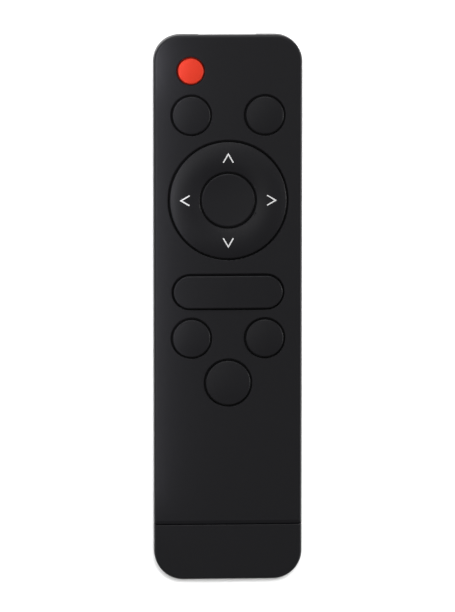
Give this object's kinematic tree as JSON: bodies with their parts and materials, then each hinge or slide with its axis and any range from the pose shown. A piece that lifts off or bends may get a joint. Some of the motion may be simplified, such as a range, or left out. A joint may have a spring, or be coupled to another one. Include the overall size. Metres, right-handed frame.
{
  "type": "remote control",
  "caption": "Slim infra-red remote control with a four-way ring, a centre key, round keys, a rocker and a sliding battery cover.",
  "frame": {"origin": "on the surface that the remote lies on, under the middle of its outline", "axes": "+Z out of the key face, +Y towards the infra-red window end, +X to the right seen from the key side"},
  "size_m": [0.04, 0.148, 0.0179],
  "materials": {
    "front_plastic": "fine matte texture",
    "back_plastic": "fine matte texture",
    "cover_plastic": "fine matte texture",
    "key_plastic": "satin",
    "red_key_plastic": "satin",
    "window_plastic": "polished, dark",
    "silicone": "matte silicone",
    "carbon": "matte",
    "board_laminate": "solder mask",
    "component_black": "moulded",
    "diode_resin": "tinted clear resin",
    "metal_can": "drawn",
    "capacitor_sleeve": "shrink sleeve",
    "contact_metal": "nickel plated",
    "cell_jacket": "plain jacket",
    "screw_steel": "zinc plated"
  },
  "bodies": {
    "housing": {"front_shell": "front_plastic", "back_shell": "back_plastic", "ir_window": "window_plastic", "keypad_membrane": "silicone", "carbon_contacts": "carbon", "circuit_board": "board_laminate", "ir_led": "diode_resin", "controller_chip": "component_black", "crystal": "metal_can", "reservoir_capacitor": "capacitor_sleeve", "driver_transistor": "component_black", "smd_resistors": "component_black", "battery_contact_positive": "contact_metal", "battery_contact_negative": "contact_metal", "battery_bridge_contact": "contact_metal", "battery_left": "cell_jacket", "battery_right": "cell_jacket", "case_screws": "screw_steel", "board_screws": "screw_steel"},
    "battery_cover": {"battery_cover": "cover_plastic"},
    "power_key": {"power_key": "red_key_plastic"},
    "upper_left_key": {"upper_left_key": "key_plastic"},
    "upper_right_key": {"upper_right_key": "key_plastic"},
    "navigation_ring": {"navigation_ring": "key_plastic"},
    "navigation_pad": {"navigation_pad": "silicone"},
    "ok_key": {"ok_key": "key_plastic"},
    "volume_rocker": {"volume_rocker": "key_plastic"},
    "lower_left_key": {"lower_left_key": "key_plastic"},
    "lower_right_key": {"lower_right_key": "key_plastic"},
    "lower_centre_key": {"lower_centre_key": "key_plastic"}
  },
  "joints": [
    {"name": "cover_slide", "type": "slide", "parent": "housing", "child": "battery_cover", "axis": [0, -1, 0], "range_m": [0, 0.06]},
    {"name": "power_press", "type": "slide", "parent": "housing", "child": "power_key", "axis": [0, 0, -1], "range_m": [0, 0.00045], "stiffness_N_per_m": 1000, "deforming": ["keypad_membrane"]},
    {"name": "upper_left_press", "type": "slide", "parent": "housing", "child": "upper_left_key", "axis": [0, 0, -1], "range_m": [0, 0.00045], "stiffness_N_per_m": 1000, "deforming": ["keypad_membrane"]},
    {"name": "upper_right_press", "type": "slide", "parent": "housing", "child": "upper_right_key", "axis": [0, 0, -1], "range_m": [0, 0.00045], "stiffness_N_per_m": 1000, "deforming": ["keypad_membrane"]},
    {"name": "ok_press", "type": "slide", "parent": "housing", "child": "ok_key", "axis": [0, 0, -1], "range_m": [0, 0.00045], "stiffness_N_per_m": 1000, "deforming": ["keypad_membrane"]},
    {"name": "lower_left_press", "type": "slide", "parent": "housing", "child": "lower_left_key", "axis": [0, 0, -1], "range_m": [0, 0.00045], "stiffness_N_per_m": 1000, "deforming": ["keypad_membrane"]},
    {"name": "lower_right_press", "type": "slide", "parent": "housing", "child": "lower_right_key", "axis": [0, 0, -1], "range_m": [0, 0.00045], "stiffness_N_per_m": 1000, "deforming": ["keypad_membrane"]},
    {"name": "lower_centre_press", "type": "slide", "parent": "housing", "child": "lower_centre_key", "axis": [0, 0, -1], "range_m": [0, 0.00045], "stiffness_N_per_m": 1000, "deforming": ["keypad_membrane"]},
    {"name": "volume_rock", "type": "hinge", "parent": "housing", "child": "volume_rocker", "pos_m": [0, 0.0046, 0.0147], "axis": [0, 1, 0], "range_deg": [-1.6, 1.6], "stiffness_Nm_per_rad": 0.3, "deforming": ["keypad_membrane"]},
    {"name": "ring_up_down", "type": "hinge", "parent": "housing", "child": "navigation_pad", "pos_m": [0, 0.0295, 0.0148], "axis": [1, 0, 0], "range_deg": [-1.2, 1.2], "stiffness_Nm_per_rad": 0.4, "deforming": ["keypad_membrane"]},
    {"name": "ring_left_right", "type": "hinge", "parent": "navigation_pad", "child": "navigation_ring", "pos_m": [0, 0.0295, 0.0148], "axis": [0, 1, 0], "range_deg": [-1.2, 1.2], "stiffness_Nm_per_rad": 0.4, "deforming": ["navigation_pad", "keypad_membrane"]}
  ]
}
